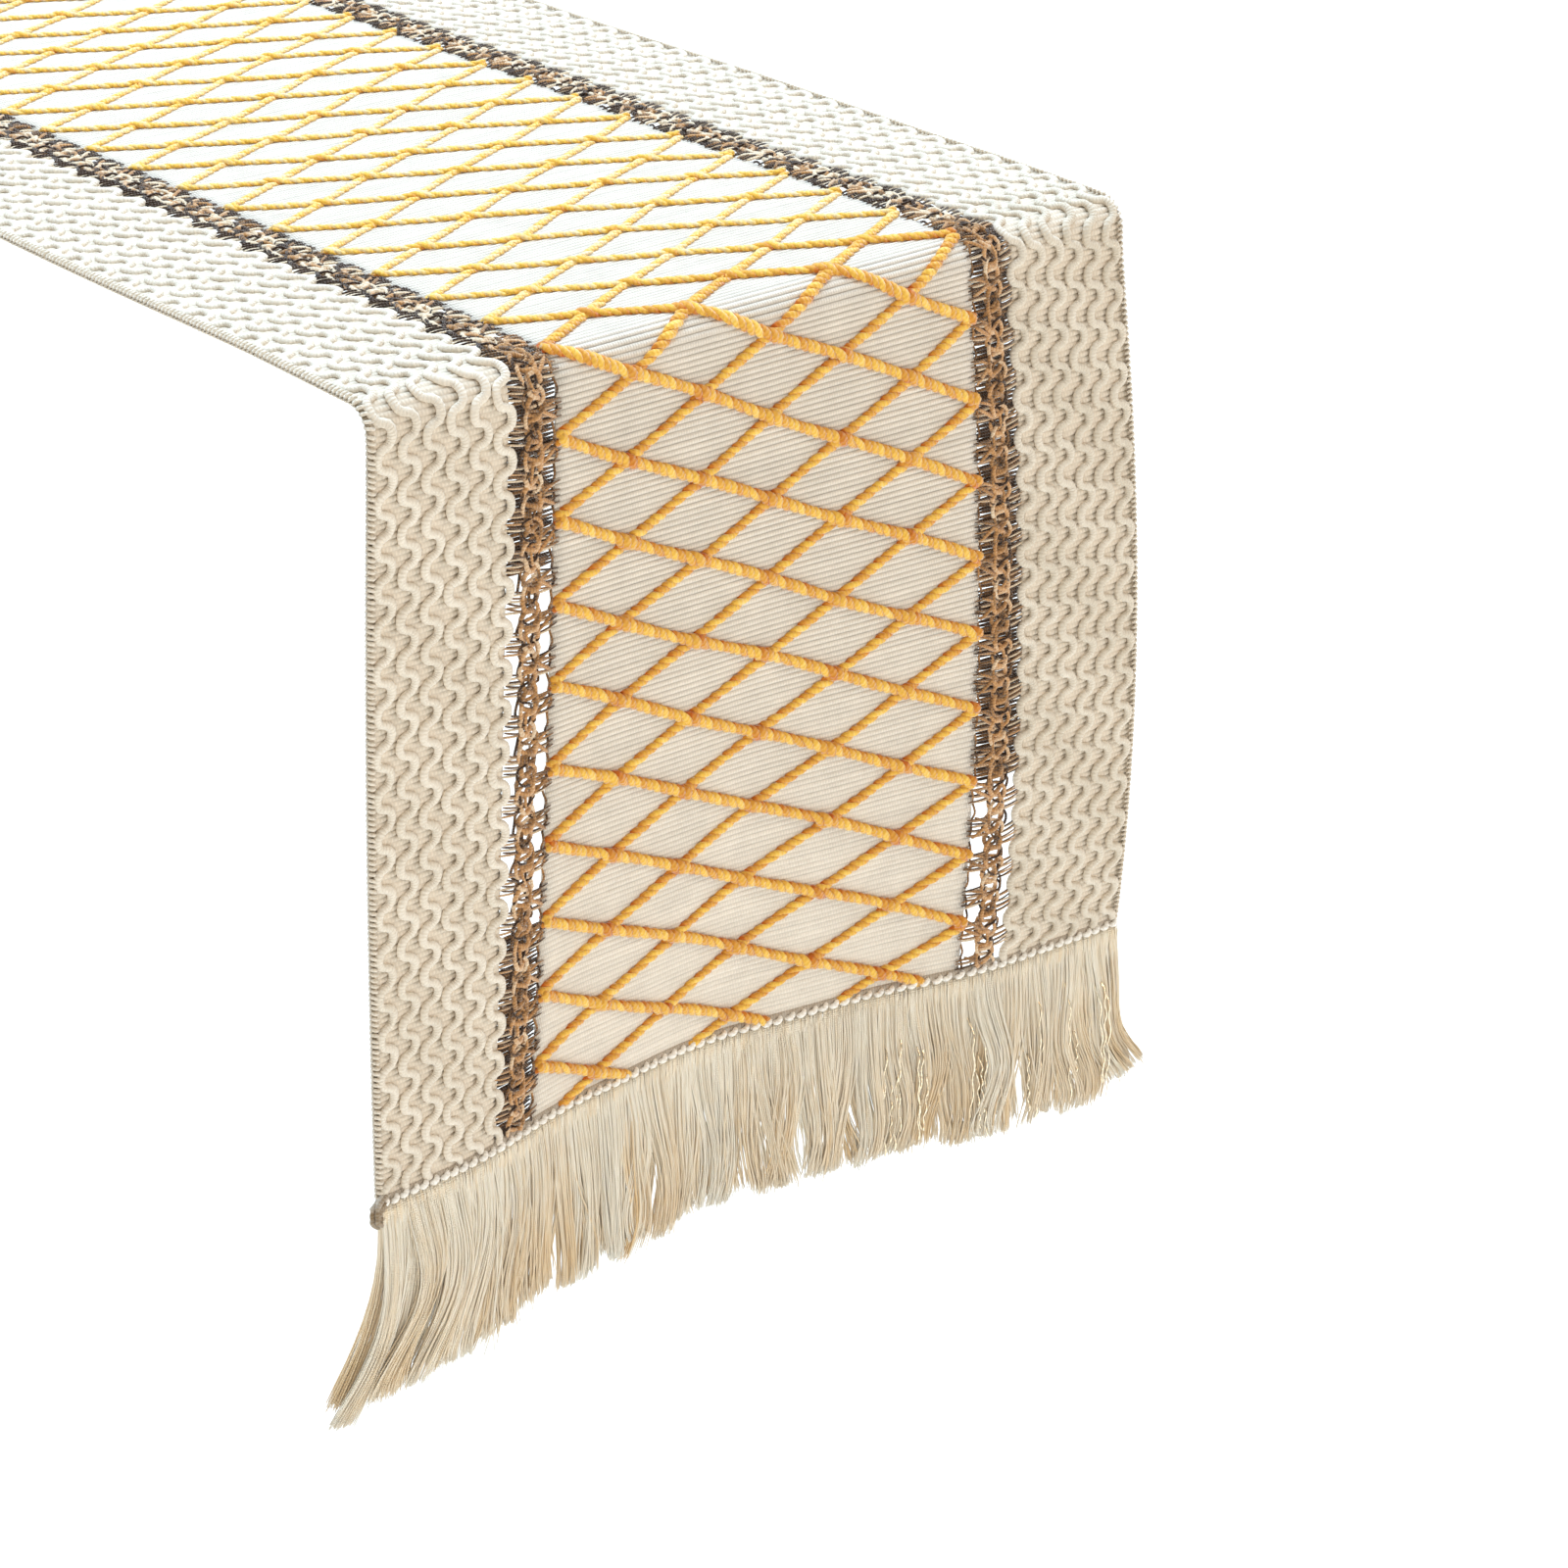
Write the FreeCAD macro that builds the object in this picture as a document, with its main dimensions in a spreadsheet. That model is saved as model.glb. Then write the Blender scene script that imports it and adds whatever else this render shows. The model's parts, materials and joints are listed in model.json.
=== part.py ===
import FreeCAD, Part
import math
import os

import Sketcher

# A woven cotton table runner, draped over a table top with both ends hanging.
#
# Frame: millimetres. +X runs across the runner, +Y along its length, +Z up. The origin is the middle of
# the underside of the flat run, where the cloth rests on the table. The front end hangs at -Y.
#
# The runner is five strips side by side (band, openwork, centre panel, openwork, band). Each strip is one
# length of cloth on the flat run, one quarter turn at each table edge, and one length on each drop. Every
# drop ends in a hem with whip stitches, and a fringe with its header hangs from the hem.

os.makedirs("parts", exist_ok=True)
doc = FreeCAD.newDocument("table_runner")

# ---------------------------------------------------------------- driving dimensions, in millimetres

DIMENSIONS = (
    ("panel_width", 166),
    ("openwork_width", 17.5),
    ("band_width", 49.5),
    ("panel_thickness", 1.5),
    ("openwork_thickness", 2),
    ("band_thickness", 2.5),
    ("top_length", 1140),
    ("edge_radius", 8),
    ("fold_gap", 1.5),
    ("drop_length", 251.5),
    ("hem_height", 5),
    ("hem_thickness", 3),
    ("swing_gap", 0.5),
    ("header_height", 9),
    ("header_thickness", 2.5),
    ("fringe_length", 61),
    ("fringe_thickness", 2),
    ("fringe_splay", 17),
    ("lock_gap", 1.2),
    ("lurex_width", 0.6),
    ("lattice_pitch", 27.2),
    ("cord_height", 1.8),
    ("over_cord_width", 4.4),
    ("under_cord_width", 3.2),
    ("cord_clearance", 0.2),
    ("eyelet_pitch", 13.6),
    ("eyelet_width", 4.5),
    ("eyelet_margin", 2),
    ("stitch_pitch", 2.5),
    ("stitch_width", 1.2),
    ("stitch_height", 0.8),
    ("stitch_lean", 1.6),
    ("stitch_margin", 0.5),
)

# Counts, which are whole numbers rather than sizes.
DIAMONDS_ACROSS = 3
FRINGE_LOCKS = 14
LUREX_GAPS = (9, 10, 12)     # the gaps between fringe locks that hold a metallic strand

sheet = doc.addObject("Spreadsheet::Sheet", "Sizes")
for row, (alias, value) in enumerate(DIMENSIONS, start=1):
    sheet.set("A%d" % row, alias)
    sheet.set("B%d" % row, str(value))
    sheet.setAlias("B%d" % row, alias)
doc.recompute()

HALF_WIDTH = "(Sizes.panel_width / 2 + Sizes.openwork_width + Sizes.band_width)"
EDGE_LINE = "(Sizes.top_length / 2)"
DROP_FACE = "(Sizes.top_length / 2 + Sizes.edge_radius)"
DROP_TOP = "(-Sizes.edge_radius - Sizes.fold_gap)"
HEM_TOP = "(-Sizes.edge_radius - Sizes.fold_gap - Sizes.drop_length)"
HEM_FOOT = "(%s - Sizes.hem_height)" % HEM_TOP
SWING_HEIGHT = "(%s - Sizes.swing_gap - Sizes.header_thickness / 2)" % HEM_FOOT
SWING_LINE = "(%s + Sizes.header_thickness / 2)" % DROP_FACE
HEADER_FOOT = "(%s - Sizes.header_height)" % SWING_HEIGHT

# Each strip: name, the edge where it starts (measured across), its width and its thickness.
PANEL_EDGE = "(Sizes.panel_width / 2)"
BAND = ("Sizes.band_width", "Sizes.band_thickness")
OPENWORK = ("Sizes.openwork_width", "Sizes.openwork_thickness")
PANEL = ("Sizes.panel_width", "Sizes.panel_thickness")
STRIPS = (
    ("left_band", "-" + HALF_WIDTH, *BAND),
    ("left_openwork", "-%s - Sizes.openwork_width" % PANEL_EDGE, *OPENWORK),
    ("centre_panel", "-" + PANEL_EDGE, *PANEL),
    ("right_openwork", PANEL_EDGE, *OPENWORK),
    ("right_band", "%s + Sizes.openwork_width" % PANEL_EDGE, *BAND),
)

ACROSS = FreeCAD.Vector(1, 0, 0)
UPRIGHT_FRONT = FreeCAD.Rotation(ACROSS, 90)     # the sheet's length points up, its face to -Y
UPRIGHT_REAR = FreeCAD.Rotation(ACROSS, -90)     # the sheet's length points down, its face to +Y
FLAT = FreeCAD.Rotation()

subparts = []


def size(alias):
    """The number in a named cell."""
    return float(sheet.get(alias))


def value_of(expression):
    """The number that an expression on the sheet's cells gives now."""
    return float(sheet.evalExpression(expression))


def place(piece, across, along, height, rotation=FLAT):
    """Turns a piece, then binds its three coordinates to expressions."""
    piece.Placement = FreeCAD.Placement(FreeCAD.Vector(0, 0, 0), rotation)
    piece.setExpression("Placement.Base.x", across)
    piece.setExpression("Placement.Base.y", along)
    piece.setExpression("Placement.Base.z", height)


def new_body(label):
    body = doc.addObject("PartDesign::Body", label)
    body.Label = label
    subparts.append(body)
    return body


def origin_plane(body, role):
    return next(item for item in body.Origin.OriginFeatures if item.Role == role)


def new_sketch(body, name, role="XY_Plane"):
    sketch = body.newObject("Sketcher::SketchObject", name)
    sketch.AttachmentSupport = (origin_plane(body, role), [""])
    sketch.MapMode = "FlatFace"
    return sketch


def add_rectangle(sketch, corner_names, size_names):
    """A rectangle whose low corner and two sides are named constraints: pairs of (name, expression).

    A corner entry of None keeps the low corner on that axis."""
    points = [(10, 10), (20, 10), (20, 20), (10, 20)]
    for index in range(4):
        start = FreeCAD.Vector(*points[index], 0)
        end = FreeCAD.Vector(*points[(index + 1) % 4], 0)
        sketch.addGeometry(Part.LineSegment(start, end), False)
    for index in range(4):
        sketch.addConstraint(Sketcher.Constraint("Coincident", index, 2, (index + 1) % 4, 1))
    for index, kind in enumerate(("Horizontal", "Vertical", "Horizontal", "Vertical")):
        sketch.addConstraint(Sketcher.Constraint(kind, index))
    for kind, side, (name, expression) in zip(("DistanceX", "DistanceY"), (0, 1), size_names):
        number = sketch.addConstraint(Sketcher.Constraint(kind, side, 1, side, 2, 10))
        sketch.renameConstraint(number, name)
        sketch.setExpression("Constraints." + name, expression)
    for kind, axis, entry in zip(("DistanceX", "DistanceY"), (-2, -1), corner_names):
        if entry is None:
            sketch.addConstraint(Sketcher.Constraint("PointOnObject", 0, 1, axis))
            continue
        number = sketch.addConstraint(Sketcher.Constraint(kind, -1, 1, 0, 1, 10))
        sketch.renameConstraint(number, entry[0])
        sketch.setExpression("Constraints." + entry[0], entry[1])


def make_strip(label, width, length, thickness):
    """A flat length of cloth with its low corner on the body's origin."""
    body = new_body(label)
    sketch = new_sketch(body, label + "_outline")
    add_rectangle(sketch, (None, None), (("width", width), ("length", length)))
    pad = body.newObject("PartDesign::Pad", label + "_cloth")
    pad.Profile = sketch
    pad.setExpression("Length", thickness)
    return body


def cut_eyelets(body, label, length, near_side):
    """A row of square eyelets beside the centre panel, all the way along an openwork strip."""
    count = int((value_of(length) - size("eyelet_pitch") / 2) / size("eyelet_pitch"))
    far_margin = "Sizes.openwork_width - Sizes.eyelet_margin - Sizes.eyelet_width"
    across = "Sizes.eyelet_margin" if near_side else far_margin
    slack = "(%s - %d * Sizes.eyelet_pitch - Sizes.eyelet_width) / 2" % (length, count - 1)
    sketch = new_sketch(body, label + "_eyelet")
    add_rectangle(
        sketch,
        (("across", across), ("along", slack)),
        (("width", "Sizes.eyelet_width"), ("length", "Sizes.eyelet_width")),
    )
    pocket = body.newObject("PartDesign::Pocket", label + "_first_eyelet")
    pocket.Profile = sketch
    pocket.Type = "Length"
    pocket.Reversed = True
    pocket.setExpression("Length", "Sizes.openwork_thickness + 1")
    doc.recompute()
    pattern = body.newObject("PartDesign::LinearPattern", label + "_eyelet_row")
    pattern.Originals = [pocket]
    pattern.Direction = (sketch, ["V_Axis"])
    pattern.setExpression("Length", "%d * Sizes.eyelet_pitch" % (count - 1))
    pattern.Occurrences = count
    body.Tip = pattern


def make_fold(label, width, thickness):
    """A quarter turn of cloth round the table's edge, from the level side to the upright side."""
    body = new_body(label)
    sketch = new_sketch(body, label + "_section")
    start = (None, ("radius", "Sizes.edge_radius"))
    add_rectangle(sketch, start, (("width", width), ("thickness", thickness)))
    turn = body.newObject("PartDesign::Revolution", label + "_turn")
    turn.Profile = sketch
    turn.ReferenceAxis = (sketch, ["H_Axis"])
    turn.Angle = 90
    return body


def make_header(label):
    """The dense top of the fringe. Its rounded upper edge is centred on the line that it swings about."""
    body = new_body(label)
    sketch = new_sketch(body, label + "_section", "YZ_Plane")
    half, foot = size("header_thickness") / 2, -size("header_height")
    corners = ((half, 0), (half, foot), (-half, foot), (-half, 0))
    for start, end in zip(corners[:-1], corners[1:]):
        sketch.addGeometry(Part.LineSegment(FreeCAD.Vector(*start, 0), FreeCAD.Vector(*end, 0)), False)
    circle = Part.Circle(FreeCAD.Vector(0, 0, 0), FreeCAD.Vector(0, 0, 1), half)
    sketch.addGeometry(Part.ArcOfCircle(circle, 0, math.pi), False)
    for joined in ((0, 2, 1, 1), (1, 2, 2, 1), (3, 1, 0, 1), (3, 2, 2, 2), (3, 3, -1, 1)):
        sketch.addConstraint(Sketcher.Constraint("Coincident", *joined))
    for side, end in ((0, 1), (2, 2)):
        sketch.addConstraint(Sketcher.Constraint("PointOnObject", side, end, -1))
    for kind, side in (("Vertical", 0), ("Horizontal", 1), ("Vertical", 2)):
        sketch.addConstraint(Sketcher.Constraint(kind, side))
    for name, constraint, expression in (
        ("radius", Sketcher.Constraint("Radius", 3, half), "Sizes.header_thickness / 2"),
        ("depth", Sketcher.Constraint("DistanceY", 0, 2, 0, 1, -foot), "Sizes.header_height"),
    ):
        number = sketch.addConstraint(constraint)
        sketch.renameConstraint(number, name)
        sketch.setExpression("Constraints." + name, expression)
    pad = body.newObject("PartDesign::Pad", label + "_length")
    pad.Profile = sketch
    pad.Midplane = True
    pad.setExpression("Length", "2 * " + HALF_WIDTH)
    return body


def plate(points, base, thickness):
    """A flat solid from an outline in the sheet's own plane."""
    corners = [FreeCAD.Vector(across, along, base) for across, along in points]
    return Part.Face(Part.makePolygon(corners + corners[:1])).extrude(FreeCAD.Vector(0, 0, thickness))


def add_solids(label, solids):
    """One node made of several separate solids."""
    feature = doc.addObject("Part::Feature", label)
    feature.Label = label
    feature.Shape = Part.makeCompound(solids)
    subparts.append(feature)
    return feature


def clip_along(outlines, low, high, base, thickness):
    """The plates that lie between two lines across the runner, cut off square at those lines."""
    reach = size("panel_width")
    window = Part.makeBox(2 * reach, high - low, 4 * thickness, FreeCAD.Vector(-reach, low, base - thickness))
    solids = []
    for points in outlines:
        lowest = min(along for across, along in points)
        highest = max(along for across, along in points)
        if highest <= low or lowest >= high:
            continue
        solid = plate(points, base, thickness)
        if lowest < low or highest > high:
            solid = solid.common(window)
        solids += solid.Solids
    return solids


def lattice(low, high):
    """The two sets of diagonal cords between two lines across the runner, in the flat cloth.

    Falling cords lie whole on the panel. Rising cords are short lengths that stop clear of them."""
    width, pitch = size("panel_width"), size("lattice_pitch")
    columns = 2 * DIAMONDS_ACROSS
    column = width / columns
    slope = pitch / 2 / column
    lean = math.sqrt(1 + slope * slope)
    over = size("over_cord_width") / 2 * lean
    under = size("under_cord_width") / 2 * lean
    shut = over + size("cord_clearance") * lean
    fall = DIAMONDS_ACROSS * pitch
    left, right = -width / 2, width / 2
    falling, rising = [], []
    for turn in range(math.floor(low / pitch), math.ceil((high + fall) / pitch) + 1):
        start = turn * pitch
        end = start - fall
        falling.append(((left, start - over), (right, end - over), (right, end + over), (left, start + over)))
        for step in range(columns):
            outline = []
            for side, done in ((-1, 0), (-1, 1), (1, 1), (1, 0)):
                offset = ((1 - 2 * done) * shut - side * under) / (2 * slope)
                across = left + (step + done) * column + offset
                along = end + (step + done) * pitch / 2 + slope * offset + side * under
                outline.append((across, along))
            rising.append(outline)
    base, thickness = size("panel_thickness"), size("cord_height")
    return clip_along(falling, low, high, base, thickness), clip_along(rising, low, high, base, thickness)


def add_lattice(prefix, low, high, across, along, height, rotation, zero):
    """The lattice of one stretch of cloth. zero is the line of the flat cloth that it is placed by."""
    falling, rising = lattice(low, high)
    for name, solids in (("falling_cords", falling), ("rising_cords", rising)):
        shift = FreeCAD.Vector(0, -zero, 0)
        piece = add_solids("%s_%s" % (prefix, name), [solid.translated(shift) for solid in solids])
        place(piece, across, along, height, rotation)


def add_hem_stitches(label):
    """Slanting whip stitches over the hem, drawn with the hem's low edge on the sheet's own X axis."""
    pitch, wide, lean, margin = (size("stitch_" + name) for name in ("pitch", "width", "lean", "margin"))
    reach = value_of(HALF_WIDTH)
    count = int((2 * reach - lean - wide) / pitch)
    first = -(count - 1) * pitch / 2 - (wide + lean) / 2
    solids = []
    for index in range(count):
        start = first + index * pitch
        foot, head = margin, size("hem_height") - margin
        outline = ((start, foot), (start + wide, foot), (start + wide + lean, head), (start + lean, head))
        solids.append(plate(outline, 0, size("stitch_height")))
    return add_solids(label, solids)


def lock_edges(index, depth):
    """The two sides of one fringe lock at a depth below the header, which fan outwards as they go down."""
    reach = value_of(HALF_WIDTH)
    fan = 1 + size("fringe_splay") / reach * depth / size("fringe_length")
    pitch = 2 * reach / FRINGE_LOCKS
    gap = size("lock_gap") / 2
    return (-reach + index * pitch) * fan + gap, (-reach + (index + 1) * pitch) * fan - gap


def add_fringe(label):
    """Locks of loose strands side by side, drawn downwards from the header's foot."""
    length, thickness = size("fringe_length"), size("fringe_thickness")
    solids = []
    for index in range(FRINGE_LOCKS):
        top_left, top_right = lock_edges(index, 0)
        foot_left, foot_right = lock_edges(index, length)
        outline = ((foot_left, -length), (foot_right, -length), (top_right, 0), (top_left, 0))
        solids.append(plate(outline, -thickness / 2, thickness))
    return add_solids(label, solids)


def add_lurex(label):
    """Metallic strands, each in the gap between two fringe locks."""
    length, wide = size("fringe_length"), size("lurex_width")
    solids = []
    for gap in LUREX_GAPS:
        top = (lock_edges(gap, 0)[1] + lock_edges(gap + 1, 0)[0]) / 2
        foot = (lock_edges(gap, length)[1] + lock_edges(gap + 1, length)[0]) / 2
        half = wide / 2
        outline = ((foot - half, -length), (foot + half, -length), (top + half, 0), (top - half, 0))
        solids.append(plate(outline, -half, wide))
    return add_solids(label, solids)


# ---------------------------------------------------------------- the flat run and its two folds

for name, start, width, thickness in STRIPS:
    run = make_strip("top_" + name, width, "Sizes.top_length", thickness)
    if "openwork" in name:
        cut_eyelets(run, "top_" + name, "Sizes.top_length", near_side=name.startswith("right"))
    place(run, start, "-" + EDGE_LINE, "0 mm")
    front = make_fold("front_fold_" + name, width, thickness)
    place(front, start, "-" + EDGE_LINE, "-Sizes.edge_radius", UPRIGHT_FRONT)
    rear = make_fold("rear_fold_" + name, width, thickness)
    place(rear, start, EDGE_LINE, "-Sizes.edge_radius")

half_top = value_of(EDGE_LINE)
add_lattice("top", -half_top, half_top, "0 mm", "0 mm", "0 mm", FLAT, 0)

# ---------------------------------------------------------------- the two drops, their hems and fringes

# How far along the flat cloth each drop starts and ends, measured from the middle of the runner.
bend = math.pi / 2 * size("edge_radius")
drop_start = half_top + bend + size("fold_gap")
drop_end = drop_start + size("drop_length")

for prefix, side, rotation in (("front", "-", UPRIGHT_FRONT), ("rear", "", UPRIGHT_REAR)):
    # On the front the cloth is drawn upwards from the hem, on the rear downwards from the fold.
    drop_foot = HEM_TOP if prefix == "front" else DROP_TOP
    for name, start, width, thickness in STRIPS:
        label = "%s_drop_%s" % (prefix, name)
        drop = make_strip(label, width, "Sizes.drop_length", thickness)
        if "openwork" in name:
            cut_eyelets(drop, label, "Sizes.drop_length", near_side=name.startswith("right"))
        place(drop, start, side + DROP_FACE, drop_foot, rotation)
    low, high = (-drop_end, -drop_start) if prefix == "front" else (drop_start, drop_end)
    add_lattice(prefix + "_drop", low, high, "0 mm", side + DROP_FACE, drop_foot, rotation, low)

    hem = make_strip(prefix + "_hem", "2 * " + HALF_WIDTH, "Sizes.hem_height", "Sizes.hem_thickness")
    place(hem, "-" + HALF_WIDTH, side + DROP_FACE, HEM_FOOT if prefix == "front" else HEM_TOP, rotation)

    hem_face = "%s(%s + Sizes.hem_thickness)" % (side, DROP_FACE)
    turned = FreeCAD.Rotation(FreeCAD.Vector(0, 0, 1), 0 if prefix == "front" else 180)
    outward = turned.multiply(UPRIGHT_FRONT)
    stitches = add_hem_stitches(prefix + "_hem_stitches")
    place(stitches, "0 mm", hem_face, HEM_FOOT, outward)

    header = make_header(prefix + "_fringe_header")
    place(header, "0 mm", side + SWING_LINE, SWING_HEIGHT)
    for piece in (add_fringe(prefix + "_fringe_strands"), add_lurex(prefix + "_lurex_strands")):
        place(piece, "0 mm", side + SWING_LINE, HEADER_FOOT, outward)

# ---------------------------------------------------------------- check and write

doc.recompute()

for item in doc.Objects:
    if "Invalid" in item.State or "Error" in item.State:
        raise RuntimeError("%s did not build: %s" % (item.Label, item.State))

for piece in subparts:
    if piece.Shape.isNull() or not piece.Shape.isValid():
        raise RuntimeError("%s has no valid shape" % piece.Label)
    if "openwork" in piece.Label and "fold" not in piece.Label:
        uncut = piece.Shape.BoundBox
        if piece.Shape.Volume > 0.999 * uncut.XLength * uncut.YLength * uncut.ZLength:
            raise RuntimeError("%s has no eyelets" % piece.Label)

for piece in subparts:
    piece.Shape.exportStep("parts/%s.step" % piece.Label)

print("nodes", len(subparts))
for piece in subparts:
    box = piece.Shape.BoundBox
    print("%-28s solids %3d  x %.1f..%.1f  y %.1f..%.1f  z %.1f..%.1f" % (
        piece.Label, len(piece.Shape.Solids), box.XMin, box.XMax, box.YMin, box.YMax, box.ZMin, box.ZMax))
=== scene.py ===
import json
import math

import bpy
import numpy as np
from mathutils import Matrix, Vector

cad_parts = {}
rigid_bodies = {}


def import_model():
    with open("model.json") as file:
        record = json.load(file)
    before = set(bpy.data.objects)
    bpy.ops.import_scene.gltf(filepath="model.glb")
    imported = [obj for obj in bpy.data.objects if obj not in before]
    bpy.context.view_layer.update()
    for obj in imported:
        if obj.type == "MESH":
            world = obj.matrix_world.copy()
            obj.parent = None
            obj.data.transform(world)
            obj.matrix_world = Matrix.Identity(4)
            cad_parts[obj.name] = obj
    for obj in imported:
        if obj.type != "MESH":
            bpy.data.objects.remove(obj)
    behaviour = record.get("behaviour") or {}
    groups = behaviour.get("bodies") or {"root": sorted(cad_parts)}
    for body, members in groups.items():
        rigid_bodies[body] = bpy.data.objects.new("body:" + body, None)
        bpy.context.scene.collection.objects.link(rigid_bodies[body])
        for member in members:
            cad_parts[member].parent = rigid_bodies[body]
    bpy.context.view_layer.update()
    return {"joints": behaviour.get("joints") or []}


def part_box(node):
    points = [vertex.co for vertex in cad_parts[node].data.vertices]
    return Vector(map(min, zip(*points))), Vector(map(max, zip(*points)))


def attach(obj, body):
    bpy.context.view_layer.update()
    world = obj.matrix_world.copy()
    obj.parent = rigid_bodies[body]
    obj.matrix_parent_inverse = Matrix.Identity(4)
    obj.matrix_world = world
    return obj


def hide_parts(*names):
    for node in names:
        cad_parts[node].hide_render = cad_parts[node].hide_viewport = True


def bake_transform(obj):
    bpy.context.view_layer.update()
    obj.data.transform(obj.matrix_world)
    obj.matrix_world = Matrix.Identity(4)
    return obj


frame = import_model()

# A woven cotton table runner that lies on a table and hangs down at both ends. Each piece is made on the flat
# cloth, as (across, along, height), where along is 0 in the middle of the table, and is then draped.

# ------------------------------------------------------------------ sizes, from the frame

MM = 0.001
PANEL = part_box("top_centre_panel")[1].x            # half the panel's width
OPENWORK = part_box("top_right_openwork")[1].x       # where the openwork ends and the band starts
HALF_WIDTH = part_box("top_right_band")[1].x
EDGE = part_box("top_centre_panel")[1].y             # where the flat run ends
RADIUS = -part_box("front_fold_centre_panel")[0].z   # of the table's edge
BEND = RADIUS * math.pi / 2
HEM_FOOT = -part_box("front_hem")[0].z - RADIUS + EDGE + BEND     # along the flat cloth
HEM_TOP = -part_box("front_hem")[1].z - RADIUS + EDGE + BEND
DROP = HEM_FOOT - EDGE - BEND
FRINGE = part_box("front_hem")[0].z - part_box("front_fringe_strands")[0].z

PATTERN = 27.2 * MM          # the lattice's period along the cloth
DIAMONDS = 3                 # across the panel
EYELETS = PATTERN / 2        # the openwork's period, and the winding cords'
RIB = PATTERN / 14           # between two weft ribs of the panel
BAND_RIB = EYELETS / 7       # between two weft ribs of a band
PANEL_THICK = 0.9 * MM
BAND_THICK = 1.0 * MM
WAVES = 6                    # columns of raised cords down each band
WAVE_CORD = 1.5 * MM         # their radius
WAVE_SWING = 2.7 * MM        # how far they wind to each side
WAVE_LOOP = 0.70             # how far they lean over as they turn: above 1 they would double back
SLANT = 1.11                 # a lattice cord's length over the width that it crosses
TUCK = 1.5 * MM              # how far lattice cords run on under the hem
ROPE_STEP = 1.05 * MM        # between two points along a lattice cord
FLAT_RUN_REACH = 30 * MM               # before each fold, over which cloth, raised cords and openwork stop being painted paler by the strong light on the flat run
CORD_FLAT_RUN_REACH = 40 * MM          # the same for the lattice
CLOTH_COLUMNS = 29           # points across a panel or a band
HEM_COLUMNS = 501            # points across the hem
THREADS = 2000               # more than there are weft threads in one half
FRINGE_ROOM = 0.4 * MM       # from the outermost strands to the cloth's edge
ROOTED = 2.2 * MM            # of each strand, inside the hem
LOOSE = 0.04                 # of the strands stray from their wisp

# Where the eyelets are left see-through on each side, as shares of the drop, and where flat dark yarns of
# painted shade close them again: the right one stays open.
SEE_THROUGH_STRETCH = {-1: (0.18, 0.70), 1: (0.70, 1.5)}

OUTWARDS = {"front": -1, "rear": 1}          # which way along the cloth each end hangs
YARN_SEED, OUTER_SEED, INNER_SEED = 40, 70, 80


# ------------------------------------------------------------------ camera, floor and light

CAMERA_PLACE = (-0.750, -1.438, 0.396)
LENS = 91.1                  # for a sensor 36 mm wide
FLOOR_HEIGHT = -0.75         # a dining table's height below the cloth
FLOOR_REACH = 12

# Each one's name, place, target, power in watts, colour, and the width of its disk.
SOFT_LAMPS = (
    ("overhead", (0, 0.5, 1.6), (0, 0.6, 0), 40, (0.66, 0.83, 1.0), 2.6),
    ("right_window", (2.2, -2.1, 1.0), (0, -0.6, -0.15), 28, (1.0, 0.88, 0.76), 0.9),
    ("front_fill", (-1.9, -2.6, 0.2), (0, -0.6, -0.2), 21, (1.0, 0.90, 0.79), 1.6),
)


def set_camera():
    """A long lens, from in front of the runner's left side, looking down on the fold."""
    turn, dip, tilt = math.radians(41.4), math.radians(26.1), math.radians(0.8)
    forward = Vector((math.sin(turn) * math.cos(dip), math.cos(turn) * math.cos(dip), -math.sin(dip)))
    sideways = Vector((math.cos(turn), -math.sin(turn), 0))
    upward = sideways.cross(forward)
    right = sideways * math.cos(tilt) + upward * math.sin(tilt)
    axes = Matrix((right, right.cross(forward), -forward)).transposed().to_4x4()
    camera = bpy.data.objects.new("camera", bpy.data.cameras.new("camera"))
    camera.matrix_world = Matrix.Translation(CAMERA_PLACE) @ axes
    camera.data.sensor_width = 36
    camera.data.lens = LENS
    camera.data.clip_start = 0.05
    bpy.context.scene.collection.objects.link(camera)
    bpy.context.scene.camera = camera


def set_floor():
    """A wide pale floor without any shine."""
    square = ((-1, -1), (1, -1), (1, 1), (-1, 1))
    corners = [(x * FLOOR_REACH, y * FLOOR_REACH, FLOOR_HEIGHT) for x, y in square]
    mesh = bpy.data.meshes.new("floor")
    mesh.from_pydata(corners, [], [(0, 1, 2, 3)])
    floor = bpy.data.objects.new("floor", mesh)
    bpy.context.scene.collection.objects.link(floor)
    finish = bpy.data.materials.new("pale_floor")
    finish.use_nodes = True
    shader = finish.node_tree.nodes["Principled BSDF"]
    shader.inputs["Base Color"].default_value = (0.97, 0.92, 0.85, 1)
    shader.inputs["Roughness"].default_value = 1
    shader.inputs["Specular IOR Level"].default_value = 0
    mesh.materials.append(finish)


def set_sky():
    """A dim warm sky that lights the cloth, seen as plain white behind it."""
    world = bpy.data.worlds.new("studio")
    bpy.context.scene.world = world
    world.use_nodes = True
    nodes, links = world.node_tree.nodes, world.node_tree.links
    backdrop = nodes["Background"]
    backdrop.inputs["Color"].default_value = (1, 1, 1, 1)
    sky = nodes.new("ShaderNodeBackground")
    sky.inputs["Color"].default_value = (1.0, 0.92, 0.83, 1)
    sky.inputs["Strength"].default_value = 0.32
    choose = nodes.new("ShaderNodeMixShader")
    path = nodes.new("ShaderNodeLightPath")
    links.new(path.outputs["Is Camera Ray"], choose.inputs["Fac"])
    links.new(sky.outputs[0], choose.inputs[1])
    links.new(backdrop.outputs[0], choose.inputs[2])
    links.new(choose.outputs[0], nodes["World Output"].inputs["Surface"])


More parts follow.
